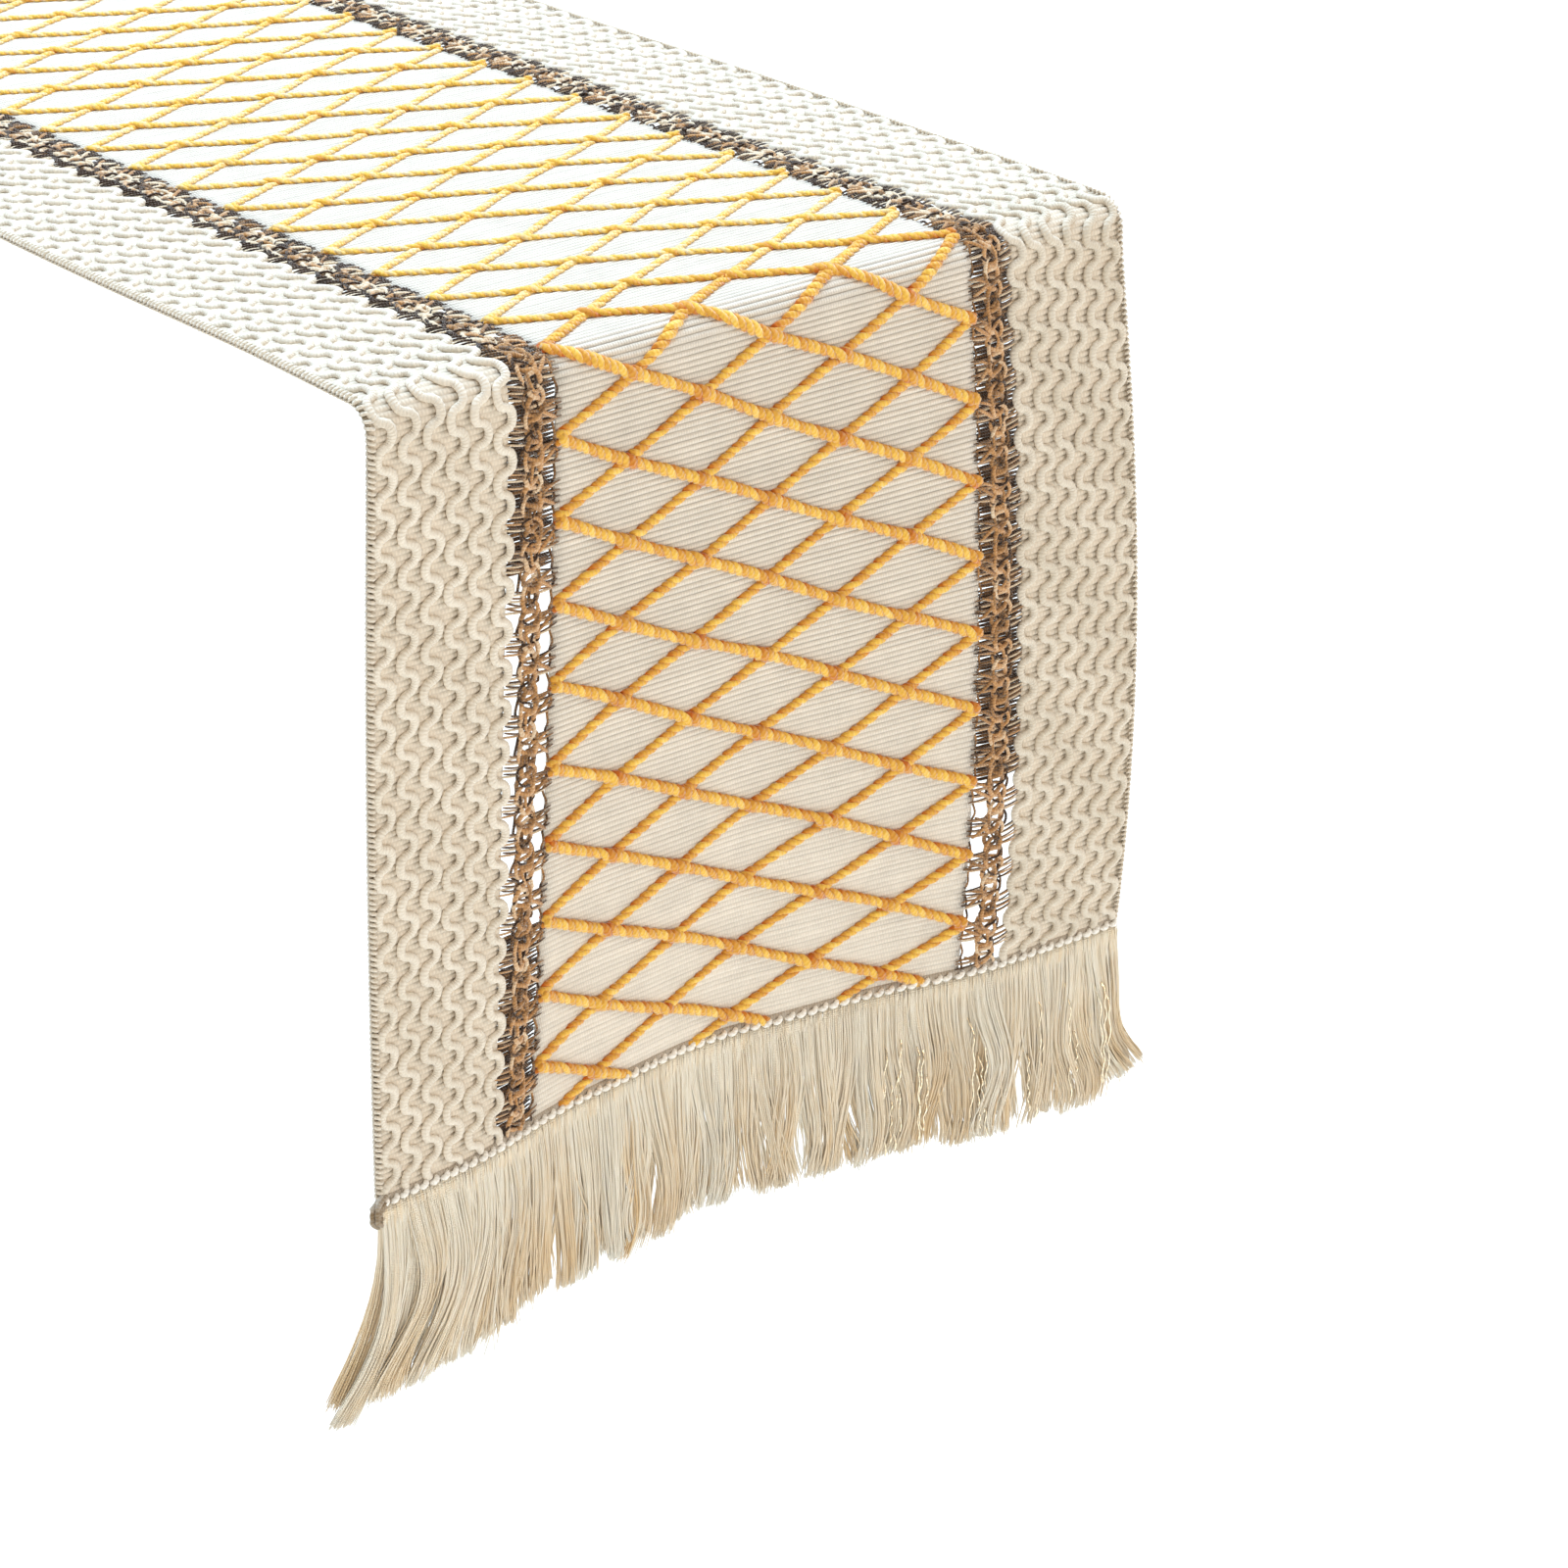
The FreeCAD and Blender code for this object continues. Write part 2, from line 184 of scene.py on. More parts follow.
def add_lamp(name, kind, place, target, power, colour):
    """A lamp at its place, turned to its target. Returns its data."""
    lamp = bpy.data.lights.new(name, kind)
    lamp.energy = power
    lamp.color = colour
    item = bpy.data.objects.new(name, lamp)
    item.location = place
    item.rotation_euler = (Vector(target) - Vector(place)).to_track_quat("-Z", "Y").to_euler()
    bpy.context.scene.collection.objects.link(item)
    return lamp


def set_lights():
    """Cool light from above and behind, which whitens the flat run, and warm soft light from in front."""
    skylight = add_lamp("skylight", "SUN", (0.5, 1.3, 3.0), (0, 0, 0), 3.4, (0.65, 0.82, 1.0))
    skylight.angle = math.radians(60)
    for name, place, target, power, colour, width in SOFT_LAMPS:
        lamp = add_lamp(name, "AREA", place, target, power, colour)
        lamp.shape = "DISK"
        lamp.size = width
    bpy.context.scene.view_settings.view_transform = "Standard"
    bpy.context.scene.view_settings.look = "None"


# ------------------------------------------------------------------ how the cloth hangs

# How far the hanging cloth falls back under the table: a part that grows with its depth, and one that grows
# with the depth squared.
BELLY = (-4.1 * MM, 14.8 * MM)     # over its whole width
LEAN = (-32.5 * MM, 26.5 * MM)     # more on one side than on the other
FOLD = (5.7 * MM, 5.5 * MM)        # as one soft fold down the cloth
FOLD_WIDTH = 1.9                   # from crest to crest, in half widths
FOLD_SHIFT = {"front": 0.093, "rear": 0.75}
SPREAD = (9.3 * MM, 2.5 * MM, -4.2 * MM)     # how far it moves sideways, as powers of the place across
DRIFT = 4.1 * MM                   # and how far its middle bows sideways, times four
RIPPLE = 0.7 * MM                  # small waves in the hanging cloth
UNEVEN = 0.5 * MM                  # and in the cloth on the table


def hang(across, share, side):
    """How the hanging cloth strays from a flat drop at a share of its depth: backwards, and sideways."""
    front = side < 0
    wide = across / HALF_WIDTH
    deep = share * share / (share + 0.04)

    def grow(terms):
        return terms[0] * deep + terms[1] * deep * deep

    wave = np.cos(math.tau * (wide + np.where(front, FOLD_SHIFT["front"], FOLD_SHIFT["rear"])) / FOLD_WIDTH)
    back = grow(BELLY) + np.where(front, 1, -0.6) * wide * grow(LEAN)
    back = back + np.where(front, 1, 0.8) * wave * grow(FOLD)
    ripple = RIPPLE * deep * np.sin(math.tau * (wide * 2.3 + share * 0.4))
    aside = deep * (SPREAD[0] * wide + SPREAD[1] * wide ** 2 + SPREAD[2] * wide ** 3)
    aside = aside + DRIFT * deep * (1 - deep)
    return back + ripple, aside * np.where(front, 1, 0.6)


def surface(across, along):
    """Where a point of the flat cloth's underside lies once it is draped."""
    side = np.where(along < 0, -1.0, 1.0)
    reach = np.abs(along)
    turn = np.clip((reach - EDGE) / RADIUS, 0, math.pi / 2)
    fall = np.maximum(reach - EDGE - BEND, 0)
    back, aside = hang(across, np.minimum(fall / DROP, 1), side)
    level = np.minimum(reach, EDGE) + RADIUS * np.sin(turn) - back
    flat = np.clip((EDGE - reach) / 0.05, 0, 1)
    lift = UNEVEN * flat * (1 + np.sin(across * 37 + along * 11) * np.sin(along * 23 - across * 9))
    return np.stack([across + aside, side * level, lift - RADIUS * (1 - np.cos(turn)) - fall], axis=-1)


def drape(points):
    """Points of the flat cloth, as (across, along, height over the underside), moved to where they hang."""
    across, along, height = np.moveaxis(points, -1, 0)
    step = 0.4 * MM
    over = surface(across + step, along) - surface(across - step, along)
    run = surface(across, along + step) - surface(across, along - step)
    normal = np.cross(over, run)
    normal /= np.linalg.norm(normal, axis=-1, keepdims=True)
    return surface(across, along) + normal * height[..., None]


# ------------------------------------------------------------------ meshes

class Weaving:
    """Collects sheets and yarns as one mesh, with a map along each yarn and a tone for each point."""

    def __init__(self):
        self.points, self.faces, self.maps, self.tones, self.count = [], [], [], [], 0

    def add(self, points, faces, maps, tones):
        """Adds points, rows of point numbers as faces, and a pair for each corner of each face as maps."""
        self.points.append(points.reshape(-1, 3))
        self.tones.append(np.broadcast_to(tones, points.shape[:-1]).reshape(-1))
        for rows, corners in zip(faces, maps):
            self.faces.append(rows + self.count)
            self.maps.append(corners.reshape(-1, 2))
        self.count += len(self.points[-1])

    def yarns(self, paths, radius, sides=6, tone=0.5, flatten=1.0, twist=0.0):
        """Tubes along flat paths (yarn, point, 3). radius and tone may vary by yarn and by point."""
        paths = np.asarray(paths, float)
        if paths.ndim == 2:
            paths = paths[None]
        yarns, steps = paths.shape[:2]
        centre = drape(paths)
        lift = drape(paths + (0, 0, 0.5 * MM)) - centre
        ahead = np.gradient(centre, axis=1)
        ahead /= np.maximum(np.linalg.norm(ahead, axis=-1, keepdims=True), 1e-12)
        beside = np.cross(ahead, lift)
        beside /= np.maximum(np.linalg.norm(beside, axis=-1, keepdims=True), 1e-12)
        upward = np.cross(beside, ahead)
        radius = np.broadcast_to(radius, (yarns, steps)).copy()
        radius[:, [0, -1]] *= 0.55               # blunt ends
        travelled = np.linalg.norm(np.diff(centre, axis=1), axis=-1)
        travelled = np.concatenate([np.zeros((yarns, 1)), np.cumsum(travelled, axis=1)], axis=1)
        angle = math.tau * np.arange(sides) / sides + twist * travelled[..., None]
        ring = np.cos(angle)[..., None] * beside[:, :, None]
        ring = ring + flatten * np.sin(angle)[..., None] * upward[:, :, None]
        points = centre[:, :, None] + radius[:, :, None, None] * ring
        number = np.arange(yarns * steps * sides).reshape(yarns, steps, sides)
        after = np.roll(number, -1, axis=2)
        corners = [number[:, :-1], after[:, :-1], after[:, 1:], number[:, 1:]]
        quads = np.stack(corners, axis=-1).reshape(-1, 4)
        caps = np.concatenate([number[:, 0, ::-1], number[:, -1]])
        along = np.broadcast_to(travelled[:, :, None], (yarns, steps, sides))
        around = np.broadcast_to(np.arange(sides) / sides, along.shape)
        here, there = around[:, :-1], around[:, :-1] + 1 / sides
        near, far = along[:, :-1], along[:, 1:]
        pairs = ((near, here), (near, there), (far, there), (far, here))
        maps = np.stack([np.stack(pair, axis=-1) for pair in pairs], axis=3)
        cap_maps = np.zeros((len(caps), sides, 2))
        tone = np.asarray(tone, float)
        if tone.ndim == 1:
            tone = tone[:, None]
        tones = np.broadcast_to(tone, (yarns, steps))[..., None] * np.ones(sides)
        self.add(points, [quads, caps], [maps, cap_maps], tones)

    def cloth(self, across, along, upper, lower, tone):
        """A closed sheet over a grid. upper, lower and tone are arrays of (along, across)."""
        wide, long = np.meshgrid(across, along)
        number = np.arange(wide.size).reshape(wide.shape)
        points, faces, maps = [], [], []
        for layer, height in enumerate((upper, lower)):
            points.append(drape(np.stack([wide, long, np.broadcast_to(height, wide.shape)], axis=-1)))
            ids = number + layer * wide.size
            corners = [ids[:-1, :-1], ids[:-1, 1:], ids[1:, 1:], ids[1:, :-1]]
            faces.append(np.stack(corners[::1 - 2 * layer], axis=-1).reshape(-1, 4))
        rim = np.concatenate([number[0, :-1], number[:-1, -1], number[-1, :0:-1], number[:0:-1, 0]])
        following = np.roll(rim, -1)
        faces.append(np.stack([rim, rim + wide.size, following + wide.size, following], axis=-1))
        place = np.tile(np.stack([wide, long], axis=-1).reshape(-1, 2), (2, 1))
        faces = [np.concatenate(faces)]
        maps = [place[faces[0]]]
        both = np.concatenate([np.broadcast_to(tone, wide.shape).ravel()] * 2)
        self.add(np.concatenate([p.reshape(-1, 3) for p in points]), faces, maps, both)

    def make(self, name, finish):
        """One smooth object from all that was added."""
        points, tones = np.concatenate(self.points), np.concatenate(self.tones)
        mesh = bpy.data.meshes.new(name)
        mesh.vertices.add(len(points))
        mesh.vertices.foreach_set("co", points.astype(np.float32).ravel())
        sizes = np.concatenate([np.full(len(rows), rows.shape[1]) for rows in self.faces])
        corners = np.concatenate([rows.ravel() for rows in self.faces])
        mesh.loops.add(len(corners))
        mesh.loops.foreach_set("vertex_index", corners.astype(np.int32))
        mesh.polygons.add(len(sizes))
        starts = np.concatenate([[0], np.cumsum(sizes)[:-1]])
        mesh.polygons.foreach_set("loop_start", starts.astype(np.int32))
        mesh.polygons.foreach_set("use_smooth", np.ones(len(sizes), bool))
        mesh.update(calc_edges=True)
        weave = mesh.uv_layers.new(name="weave")
        weave.data.foreach_set("uv", np.concatenate(self.maps).astype(np.float32).ravel())
        tone = mesh.attributes.new("tone", "FLOAT", "POINT")
        tone.data.foreach_set("value", tones.astype(np.float32))
        mesh.materials.append(finish)
        item = bpy.data.objects.new(name, mesh)
        bpy.context.scene.collection.objects.link(item)
        return item


# ------------------------------------------------------------------ finishes

class Wire:
    """A shader value that adds, subtracts, multiplies and divides."""

    def __init__(self, tree, socket):
        self.tree, self.socket = tree, socket

    def join(self, operation, first, second):
        node = self.tree.nodes.new("ShaderNodeMath")
        node.operation = operation
        for slot, value in zip(node.inputs, (first, second)):
            if isinstance(value, Wire):
                self.tree.links.new(value.socket, slot)
            elif value is not None:
                slot.default_value = value
        return Wire(self.tree, node.outputs[0])

    def __add__(self, other):
        return self.join("ADD", self, other)

    def __sub__(self, other):
        return self.join("SUBTRACT", self, other)

    def __rsub__(self, other):
        return self.join("SUBTRACT", other, self)

    def __mul__(self, other):
        return self.join("MULTIPLY", self, other)

    def __truediv__(self, other):
        return self.join("DIVIDE", self, other)

    __radd__ = __add__
    __rmul__ = __mul__

    def wave(self):
        """The sine of a value."""
        return self.join("SINE", self, None)


class Finish:
    """A material and the nodes that it is made of."""

    def __init__(self, name, roughness=0.9, sheen=0.25, metallic=0.0):
        self.material = bpy.data.materials.new(name)
        self.material.use_nodes = True
        self.tree = self.material.node_tree
        self.shader = self.tree.nodes["Principled BSDF"]
        self.shader.inputs["Roughness"].default_value = roughness
        self.shader.inputs["Sheen Weight"].default_value = sheen
        self.shader.inputs["Sheen Roughness"].default_value = 0.5
        self.shader.inputs["Specular IOR Level"].default_value = 0.25
        self.shader.inputs["Metallic"].default_value = metallic

    def node(self, kind, settings=(), output=0, **values):
        """Adds a node: its settings, then its sockets' values or links, by name or as i and a number."""
        node = self.tree.nodes.new("ShaderNode" + kind)
        for key, value in dict(settings).items():
            setattr(node, key, value)
        for key, value in values.items():
            slot = node.inputs[int(key[1:])] if key[1:].isdigit() else node.inputs[key.replace("_", " ")]
            if isinstance(value, Wire):
                self.tree.links.new(value.socket, slot)
            else:
                slot.default_value = value
        return Wire(self.tree, node.outputs[output])

    def flat_place(self):
        """The place on the flat cloth, or along and around the yarn, in thousandths, as two values."""
        where = self.node("UVMap", {"uv_map": "weave"})
        return [self.node("SeparateXYZ", output=n, i0=where) * 1000 for n in (0, 1)]

    def tone(self):
        """The tone stored in the mesh, from 0 to 1."""
        return self.node("Attribute", {"attribute_name": "tone"}, output=2)

    def blotches(self, size, detail=3.0):
        """Soft noise in space, from 0 to 1, with patches of about that size in metres."""
        place = self.node("TexCoord", output=3)
        return self.node("TexNoise", Vector=place, Scale=1 / size, Detail=detail, Roughness=0.6)

    def mix(self, share, first, second):
        """The first colour at a share of 0, and the second at 1."""
        return self.node("Mix", {"data_type": "RGBA"}, output=2, i0=share, i6=first, i7=second)

    def paint(self, colour, height=None, strength=0.5, distance=0.0004):
        """Gives the finish its colour, and a fine relief if there is one."""
        self.tree.links.new(colour.socket, self.shader.inputs["Base Color"])
        if height is not None:
            bump = self.node("Bump", Height=height, Strength=strength, Distance=distance)
            self.tree.links.new(bump.socket, self.shader.inputs["Normal"])
        return self.material


def clamp(value):
    """A shader value kept between 0 and 1."""
    positive = value.join("MAXIMUM", value, 0.0)
    return positive.join("MINIMUM", positive, 1.0)


def rgb(red, green, blue):
    """A colour from its screen values, 0 to 255."""
    return tuple((value / 255) ** 2.2 for value in (red, green, blue)) + (1,)


def cloth_finish(name, dark, light, warp, weft):
    """Woven cotton: dark between the ribs, as painted shade from the tone, with crossing threads in relief,
    painted a little darker in their hollows.
    """
    finish = Finish(name)
    across, along = finish.flat_place()
    shade = finish.tone() * 0.85 + finish.blotches(0.012) * 0.3
    threads = (across * (math.tau / warp)).wave() * (along * (math.pi / weft)).wave()
    colour = finish.mix(shade + threads * 0.09, dark, light)
    fuzz = finish.blotches(0.0006, 2.0)
    return finish.paint(colour, threads * 0.5 + fuzz, 0.55, 0.0003)


def yarn_finish(name, dark, light, lay, roughness=0.9, sheen=0.3, painted_glare=None):
    """Spun yarn: fibres that wind round it, painted a little darker in their grooves as painted shade, and
    lighter and darker lengths. The palest can be mixed toward a near-white painted glare.
    """
    finish = Finish(name, roughness, sheen)
    along, around = finish.flat_place()
    fibres = (along * (math.tau / lay) + around * (math.tau / 1000)).wave()
    patches = finish.blotches(0.004)
    shade = finish.tone() * 0.8 + patches * 0.35 + fibres * 0.06
    colour = finish.mix(shade, dark, light)
    # Painted glare: the palest shades are mixed toward a near-white colour.
    if painted_glare:
        colour = finish.mix(clamp(shade * 1.4 - 1.3), colour, painted_glare)
    fuzz = finish.blotches(0.0005, 2.0)
    return finish.paint(colour, fibres * 0.5 + fuzz, 0.6, 0.0003)


def openwork_finish():
    """Dark brown, tan and cream yarns in one strip, painted a little darker in the grooves between fibres as
    painted shade.
    """
    finish = Finish("brown_yarn", 0.9, 0.5)
    along, around = finish.flat_place()
    fibres = (along * (math.tau / 1.0) + around * (math.tau / 1000)).wave()
    patches = finish.blotches(0.004)
    shade = finish.tone() + patches * 0.3 - 0.15 + fibres * 0.05
    tan = finish.mix(clamp(shade * 2), rgb(60, 38, 16), rgb(204, 152, 98))
    colour = finish.mix(clamp(shade * 2.5 - 1.25), tan, rgb(241, 221, 190))
    return finish.paint(colour, fibres * 0.5 + finish.blotches(0.0005, 2.0), 0.6, 0.0003)


def lurex_finish():
    """Shiny metallic ribbon."""
    finish = Finish("gold_lurex", 0.18, 0.0, 1.0)
    glint = finish.blotches(0.0015)
    return finish.paint(finish.mix(glint, rgb(250, 222, 170), rgb(255, 250, 236)))


# ------------------------------------------------------------------ cloth and cords

def ease(value):
    """A value kept from 0 to 1, with a soft start and a soft end."""
    value = np.clip(value, 0, 1)
    return value * value * (3 - 2 * value)


def fine_rows(start, stop, rib, stations):
    """Lines across the cloth, at each of the stations of every rib."""
    first, last = math.floor(start / rib), math.ceil(stop / rib)
    rows = (np.arange(first, last)[:, None] + np.array(stations)).ravel() * rib
    rows = rows[(rows > start + 1e-6) & (rows < stop - 1e-6)]
    return np.concatenate([[start], rows, [stop]])


def rib_profile(along, rib):
    """The height of a rounded thread, 0 in the gap and 1 on its back."""
    return np.sqrt(np.abs(np.sin(math.pi * along / rib)))


def lying(along, reach):
    """1 where the cloth lies on the table, falling to 0 within that reach of the fold."""
    return ease((EDGE - np.abs(along)) / reach)


def span(end):
    """The stretch of the flat cloth that belongs to the front or rear half, up to its hem."""
    return (-HEM_TOP, 0.0) if end == "front" else (0.0, HEM_TOP)


def panel_cloth(end, rng):
    """Plain weave with uneven weft ribs, which are flatter low on the drop; its tone paints shade in the gaps
    between the ribs, less where they are flatter.
    """
    start, stop = span(end)
    along = fine_rows(start, stop, RIB, (0.0, 0.14, 0.5, 0.86))
    across = np.linspace(-PANEL, PANEL, CLOTH_COLUMNS)
    wide, long = np.meshgrid(across, along)
    thread = np.floor(long / RIB).astype(int)
    thick = rng.uniform(0.6, 1.2, THREADS)[thread]
    slub = 0.5 + 0.5 * np.sin(wide * 61 + thread * 2.4) * np.sin(wide * 23 + thread * 0.7)
    rib = rib_profile(long, RIB)
    calm = ease((np.abs(long) - EDGE - BEND) / DROP * 1.3 - 0.25)
    upper = PANEL_THICK + (0.55 - 0.25 * calm) * MM * rib * (0.7 + 0.3 * thick) - 0.2 * MM
    lower = -0.18 * MM * rib + 0.18 * MM
    # Painted shade: dark in the gaps between ribs, lighter in the gaps low on the drop.
    tone = 0.12 + 0.35 * (slub + calm) * (1 - rib) + 0.8 * rib * (0.75 + 0.25 * thick)
    weaving = Weaving()
    weaving.cloth(across, along, upper, lower, tone)
    return weaving


def wave_line(column, phase):
    """The centre line of one of a band's raised cords: its place across and along at a phase in turns."""
    pitch = (HALF_WIDTH - OPENWORK - 3.4 * MM) / (WAVES - 0.6)
    shift = 0.13 * column + 0.04 * math.sin(column * 2.4)
    turn = math.tau * (phase + shift + 0.03 * np.sin(phase * 0.9 + column * 2.1))
    across = OPENWORK + 1.6 * MM + column * pitch + WAVE_SWING * np.sin(turn)
    across = across + 0.2 * MM * np.sin(phase * 2.3 + column)
    along = EYELETS * (phase - WAVE_LOOP * np.sin(2 * turn) / (2 * math.tau))
    return np.minimum(across, HALF_WIDTH - 0.7 * MM), along


def band_cloth(end, side, rng):
    """Short bars of weft fill the hollows between the raised cords and dip beside them."""
    start, stop = span(end)
    along = fine_rows(start, stop, BAND_RIB, (0.0, 0.18, 0.5, 0.82))
    across = side * np.linspace(OPENWORK, HALF_WIDTH, CLOTH_COLUMNS)
    if side < 0:
        across = across[::-1]
    wide, long = np.meshgrid(across, along)
    turns = np.linspace(start / EYELETS - 1, stop / EYELETS + 1, int((stop - start) / EYELETS * 24))
    before = np.full(wide.shape, 1.0)        # how far it is outwards to the next cord
    for column in range(-1, WAVES + 1):
        cord, place = wave_line(column, turns)
        away = side * np.interp(along, place, cord)[:, None] - wide
        before = np.where((away > 0) & (away < before), away, before)
    thread = np.floor(long / BAND_RIB).astype(int)
    thick = rng.uniform(0.75, 1.1, THREADS)[thread]
    rib = rib_profile(long, BAND_RIB)
    gap = np.maximum(before - 0.9 * WAVE_CORD, 0)
    hollow = np.exp(-(gap / (2.4 * MM)) ** 2)
    crease = np.exp(-(gap / (0.7 * MM)) ** 2)
    upper = BAND_THICK + 0.55 * MM * rib * thick * (0.5 + 0.5 * hollow) - 0.1 * MM - 0.4 * MM * crease
    lower = -0.2 * MM * rib + 0.2 * MM
    shadow = 0.65 * (1 - rib) * (0.25 + 0.75 * hollow) + 0.4 * crease
    tone = 0.95 - shadow * (1 - 0.5 * lying(long, FLAT_RUN_REACH))
    weaving = Weaving()
    weaving.cloth(across, along, upper, lower, tone)
    return weaving


def meander(phase, middle, swing, period, loop):
    """A winding line: its place across and along at a phase in turns. It doubles back if loop is above 1."""
    angle = math.tau * phase
    across = middle + swing * np.sin(angle)
    along = period * (phase - loop * np.sin(2 * angle) / (2 * math.tau))
    return across, along


def wave_cords(end, side):
    """Columns of raised cords that wind down the band, flatter on the table, where they are painted paler as
    painted light.
    """
    start, stop = span(end)
    weaving = Weaving()
    low, high = start / EYELETS, stop / EYELETS
    phase = np.linspace(low, high, int((high - low) * 13))
    for column in range(WAVES):
        across, along = wave_line(column, phase)
        level = lying(along, FLAT_RUN_REACH)
        height = BAND_THICK + (0.55 - 0.30 * level) * MM + 0.25 * MM * np.sin(math.tau * 2 * phase + column)
        path = np.stack([side * across, np.clip(along, start, stop), height], axis=-1)
        if side < 0:
            path = path[::-1]
        # Painted light: the cords are paler where they lie on the table.
        tone = 0.62 + 0.30 * level + 0.14 * np.sin(phase * 1.3 + column)
        radius = WAVE_CORD * (1 + 0.07 * np.sin(phase * 5.1 + column * 3))
        weaving.yarns(path, radius[None], 7, tone[None], flatten=0.82)
    return weaving


def eyelet_shade(side, reach):
    """How likely flat dark yarns are put behind the eyelets there, as painted shade, from 0 to 1."""
    share = (reach - EDGE - BEND) / DROP
    opens, closes = SEE_THROUGH_STRETCH[side]
    over_fold = 0.4 + 0.6 * ease((reach - EDGE) / (20 * MM) + 1)
    return over_fold - ease((share - opens) / 0.06) + ease((share - closes) / 0.06)


def openwork(end, side, rng):
    """Curly brown yarns between the panel and the band, with eyelets and ladder bars."""
    start, stop = span(end)
    first, last = math.floor(start / EYELETS), math.ceil(stop / EYELETS)
    phase = np.linspace(start / EYELETS, stop / EYELETS, int((last - first) * 14))
    weaving = Weaving()

    def painted_glare(tone, at):
        """Painted light and shade on the flat run: tan yarns are painted paler toward cream and dark ones
        darker toward brown, so the strip looks greyer.
        """
        return tone + (2.2 * (tone - 0.44) + 0.19) * lying(at, FLAT_RUN_REACH)

    def winding(middle, swing, radius, share, tone, height=1.2, loop=0.8, turns=1):
        """A yarn that winds down the strip. Lengths are in millimetres from the panel's edge."""
        angle = phase + share + 0.06 * np.sin(phase * 1.1 + middle)
        across, along = meander(angle, PANEL + middle * MM, swing * MM, EYELETS, loop)
        across += 0.5 * MM * np.sin(phase * 4.3 * turns + middle * 3)
        along += (phase - angle) * EYELETS
        level = (height + 0.6 * np.sin(math.tau * (2 * phase + share * 3))) * MM
        path = np.stack([side * across, np.clip(along, start, stop), level], axis=-1)
        shade = tone + 0.16 * np.sin(phase * 3.1 + middle) + rng.normal(0, 0.06, len(phase))
        shade = painted_glare(shade, along)
        weaving.yarns(path, radius * MM, 5 if radius < 0.6 else 6, shade[None])

    # The panel's bound edge, three thick cords that wind together, and thinner yarns on both sides of them.
    winding(0.4, 0.15, 0.42, 0.00, 0.18, 0.9, 0)
    winding(8.3, 2.6, 0.90, 0.00, 0.52)
    winding(8.6, 2.8, 0.84, 0.42, 0.40)
    winding(8.9, 3.2, 0.66, 0.71, 0.60)
    winding(7.6, 2.0, 0.55, 0.86, 0.30, 1.7, 1.0, 2)
    winding(6.0, 1.1, 0.45, 0.20, 0.05, 1.0)
    winding(11.6, 1.1, 0.50, 0.55, 0.03, 1.0)
    winding(9.6, 2.6, 0.42, 0.22, 0.00, 1.8)

    bars, radii, tones = [], [], []

    def bar(low, high, at, slant, radius, tone, height=0.8):
        """A short yarn across the strip, arched a little. Lengths are in millimetres."""
        share = np.linspace(0, 1, 6)
        across = PANEL + (low + (high - low) * share) * MM
        along = (at + slant * (share - 0.5) + 0.2 * math.sin(at)) * MM
        level = (height + 0.45 * np.sin(math.pi * share) + rng.normal(0, 0.1)) * MM
        if start + 0.6 * MM < along.min() and along.max() < stop - 0.6 * MM:
            bars.append(np.stack([side * across, along, level], axis=-1))
            radii.append(radius * MM)
            tones.append(painted_glare(tone, at * MM))

    for turn in range(first, last + 1):
        base = turn * EYELETS / MM
        # Cream weft with fine dark threads between, first on the panel's side and then on the band's.
        for n in range(4):
            bar(0.0, 8.0, base + 5.6 + 2.0 * n, rng.normal(0, 0.5), 0.50, rng.uniform(0.55, 1.0))
            bar(-1.6, 7.5, base + 6.6 + 2.0 * n, rng.normal(0, 0.9), 0.36, rng.uniform(0.0, 0.3), 1.4)
        for n in range(4):
            bar(10.0, 18.2, base + 0.9 + 2.0 * n, rng.normal(1.4, 0.4), 0.42, rng.uniform(0.55, 1.0))
            bar(10.5, 17.2, base + 1.9 + 2.0 * n, rng.normal(1.8, 0.5), 0.36, rng.uniform(0.0, 0.2), 1.3)
        # Two curls that cross from the cords to the panel's edge, between two eyelets.
        bar(0.4, 7.0, base + 8.2, rng.normal(4.5, 0.8) * (-1) ** turn, 0.70, rng.uniform(0.3, 0.6), 1.5)
        bar(1.2, 7.5, base + 11.2, rng.normal(-2.5, 0.8), 0.55, rng.uniform(0.2, 0.5), 1.5)
        # Flat dark yarns behind, which close the eyelets: painted shade, standing in for the shade seen
        # through them.
        if rng.random() < eyelet_shade(side, abs(turn * EYELETS)):
            for n in range(11):
                bar(0.2, 17.9, base + 1.24 * n, rng.normal(0, 0.3), 0.68, rng.uniform(-0.1, 0.22), 0.0)
    weaving.yarns(np.array(bars), np.array(radii)[:, None], 4, np.array(tones))
    return weaving


def rope(weaving, line, turned, ply_radius, offset, lay, shade):
    """Three plies, each a shade darker, that wind round a line of (across, along, height). Painted light and
    shade: the darker plies and each ply's lighter front make the twist show as bright and dark beads.
    """
    plump, light = 0.30, 0.46        # how much a ply swells, and how much painted highlight lightens it, where it comes to the front
    ahead = np.gradient(line[:, :2], axis=0)
    ahead /= np.linalg.norm(ahead, axis=1, keepdims=True)
    beside = np.stack([-ahead[:, 1], ahead[:, 0], np.zeros(len(line))], axis=-1)
    paths, tones, radii = [], [], []
    for ply, own_shade in enumerate((0.52, 0.32, 0.06)):
        angle = math.tau * (turned / lay + ply / 3)
        shift = np.cos(angle)[:, None] * beside + np.sin(angle)[:, None] * np.array([0, 0, 0.55])
        paths.append(line + offset[:, None] * shift)
        # Painted highlight on the front of each ply, painted shade where it turns under.
        tones.append(own_shade + light * np.sin(angle) + shade)
        radii.append(ply_radius * (1 + plump * np.sin(angle)))
    weaving.yarns(np.array(paths), np.array(radii), 5, np.array(tones), flatten=0.8)


